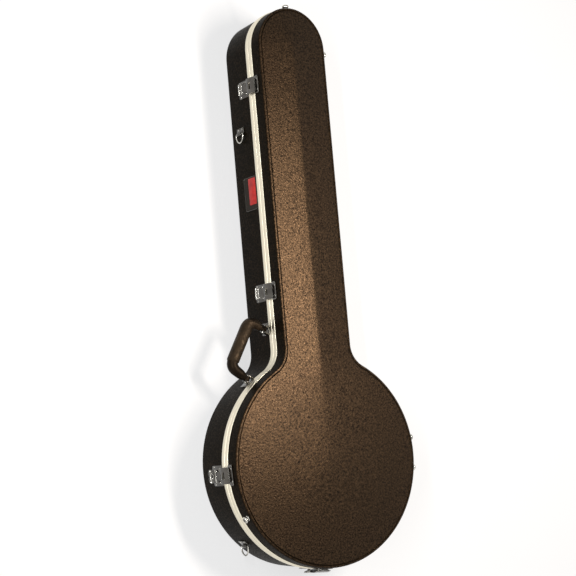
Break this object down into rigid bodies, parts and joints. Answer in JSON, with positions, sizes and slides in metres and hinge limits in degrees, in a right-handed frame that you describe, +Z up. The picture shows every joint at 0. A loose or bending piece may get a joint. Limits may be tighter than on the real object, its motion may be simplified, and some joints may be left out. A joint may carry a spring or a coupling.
{
  "type": "banjo case",
  "caption": "Moulded case for a resonator banjo: base and lid shells with metal valances, draw latches, hinges, bail handle, strap rings, fitted lining and an accessory box.",
  "frame": {"origin": "centre of the round body on the flat outside of the back, which the case rests on", "axes": "+X across the case towards the hinges, +Y along the case towards the head end, +Z up from the back to the lid"},
  "size_m": [0.4379, 1.1457, 0.1449],
  "materials": {
    "abs": "black ABS with a moulded leather grain, semi-matt",
    "aluminium": "extruded aluminium, satin",
    "chrome": "pressed steel, chrome plated",
    "grip": "moulded grip, dark brown, slightly glossy",
    "plush": "wine-red plush over foam",
    "enamel": "red lacquer on a thin metal plate, blank",
    "ribbon": "woven ribbon, black"
  },
  "bodies": {
    "base": {"base_shell": "abs", "base_valance": "aluminium", "base_lining": "plush", "neck_rest_heel": "plush", "neck_rest_nut": "plush", "accessory_box": "plush", "latch_neck_upper_plate": "chrome", "latch_neck_lower_plate": "chrome", "latch_body_plate": "chrome", "latch_tail_plate": "chrome", "hinge_upper_base_leaf": "chrome", "hinge_upper_pin": "chrome", "hinge_lower_base_leaf": "chrome", "hinge_lower_pin": "chrome", "handle_bracket_upper": "chrome", "handle_bracket_lower": "chrome", "handle_pin_upper": "chrome", "handle_pin_lower": "chrome", "strap_clip_neck": "chrome", "strap_clip_body": "chrome", "base_stud_neck": "chrome", "base_stud_body_upper": "chrome", "base_stud_body_lower": "chrome", "name_plate": "enamel"},
    "lid": {"lid_shell": "abs", "lid_valance": "aluminium", "lid_lining": "plush", "latch_neck_upper_keeper": "chrome", "latch_neck_lower_keeper": "chrome", "latch_body_keeper": "chrome", "latch_tail_keeper": "chrome", "hinge_upper_lid_leaf": "chrome", "hinge_lower_lid_leaf": "chrome", "lid_stud_head": "chrome", "lid_stud_neck": "chrome", "lid_stud_body_upper": "chrome", "lid_stud_body_lower": "chrome", "lid_stud_low": "chrome"},
    "lever_neck_upper": {"latch_neck_upper_lever": "chrome"},
    "hook_neck_upper": {"latch_neck_upper_hook": "chrome"},
    "lever_neck_lower": {"latch_neck_lower_lever": "chrome"},
    "hook_neck_lower": {"latch_neck_lower_hook": "chrome"},
    "lever_body": {"latch_body_lever": "chrome"},
    "hook_body": {"latch_body_hook": "chrome"},
    "lock": {"lock_cylinder": "chrome"},
    "lever_tail": {"latch_tail_lever": "chrome"},
    "hook_tail": {"latch_tail_hook": "chrome"},
    "handle": {"handle_grip": "grip"},
    "ring_neck": {"strap_ring_neck": "chrome"},
    "ring_body": {"strap_ring_body": "chrome"},
    "box_lid": {"accessory_lid": "plush", "accessory_pull_tab": "ribbon"}
  },
  "joints": [
    {"name": "lid_hinge", "type": "hinge", "parent": "base", "child": "lid", "pos_m": [0.2144, 0, 0.09955], "axis": [0, 1, 0], "range_deg": [0, 105]},
    {"name": "lever_neck_upper_pivot", "type": "hinge", "parent": "base", "child": "lever_neck_upper", "pos_m": [-0.0823, 0.759, 0.083], "axis": [0, 1, 0], "range_deg": [0, 100]},
    {"name": "hook_neck_upper_pivot", "type": "hinge", "parent": "lever_neck_upper", "child": "hook_neck_upper", "pos_m": [-0.0848, 0.759, 0.076], "axis": [0, 1, 0], "range_deg": [-112, 0]},
    {"name": "lever_neck_lower_pivot", "type": "hinge", "parent": "base", "child": "lever_neck_lower", "pos_m": [-0.0823, 0.34201, 0.083], "axis": [0, 1, 0], "range_deg": [0, 100]},
    {"name": "hook_neck_lower_pivot", "type": "hinge", "parent": "lever_neck_lower", "child": "hook_neck_lower", "pos_m": [-0.0848, 0.34201, 0.076], "axis": [0, 1, 0], "range_deg": [-112, 0]},
    {"name": "lever_body_pivot", "type": "hinge", "parent": "base", "child": "lever_body", "pos_m": [-0.21401, -0.01122, 0.083], "axis": [-0.0523, 0.9986, 0], "range_deg": [0, 100]},
    {"name": "hook_body_pivot", "type": "hinge", "parent": "lever_body", "child": "hook_body", "pos_m": [-0.2165, -0.01135, 0.076], "axis": [-0.0523, 0.9986, 0], "range_deg": [-112, 0]},
    {"name": "lock_turn", "type": "hinge", "parent": "lever_body", "child": "lock", "pos_m": [-0.2202, -0.01154, 0.0635], "axis": [-0.9986, -0.0523, 0], "range_deg": [0, 90]},
    {"name": "lever_tail_pivot", "type": "hinge", "parent": "base", "child": "lever_tail", "pos_m": [-0.01868, -0.21349, 0.083], "axis": [-0.9962, 0.0872, 0], "range_deg": [0, 100]},
    {"name": "hook_tail_pivot", "type": "hinge", "parent": "lever_tail", "child": "hook_tail", "pos_m": [-0.01889, -0.21598, 0.076], "axis": [-0.9962, 0.0872, 0], "range_deg": [-112, 0]},
    {"name": "handle_swing", "type": "hinge", "parent": "base", "child": "handle", "pos_m": [-0.088, 0.26901, 0.084], "axis": [-0.4527, -0.8916, 0], "range_deg": [-75, 75]},
    {"name": "ring_neck_swing", "type": "hinge", "parent": "base", "child": "ring_neck", "pos_m": [-0.08126, 0.673, 0.042], "axis": [0, 0, -1], "range_deg": [0, 150]},
    {"name": "ring_body_swing", "type": "hinge", "parent": "base", "child": "ring_body", "pos_m": [-0.14814, -0.15341, 0.042], "axis": [0, 0, -1], "range_deg": [-45, 104]},
    {"name": "box_lid_hinge", "type": "hinge", "parent": "base", "child": "box_lid", "pos_m": [-0.0392, 0.385, 0.0464], "axis": [0, -1, 0], "range_deg": [0, 80]}
  ],
  "couplings": [
    {"joint": "hook_neck_upper_pivot", "follows": "lever_neck_upper_pivot", "ratio": -1.12},
    {"joint": "hook_neck_lower_pivot", "follows": "lever_neck_lower_pivot", "ratio": -1.12},
    {"joint": "hook_body_pivot", "follows": "lever_body_pivot", "ratio": -1.12},
    {"joint": "hook_tail_pivot", "follows": "lever_tail_pivot", "ratio": -1.12}
  ]
}
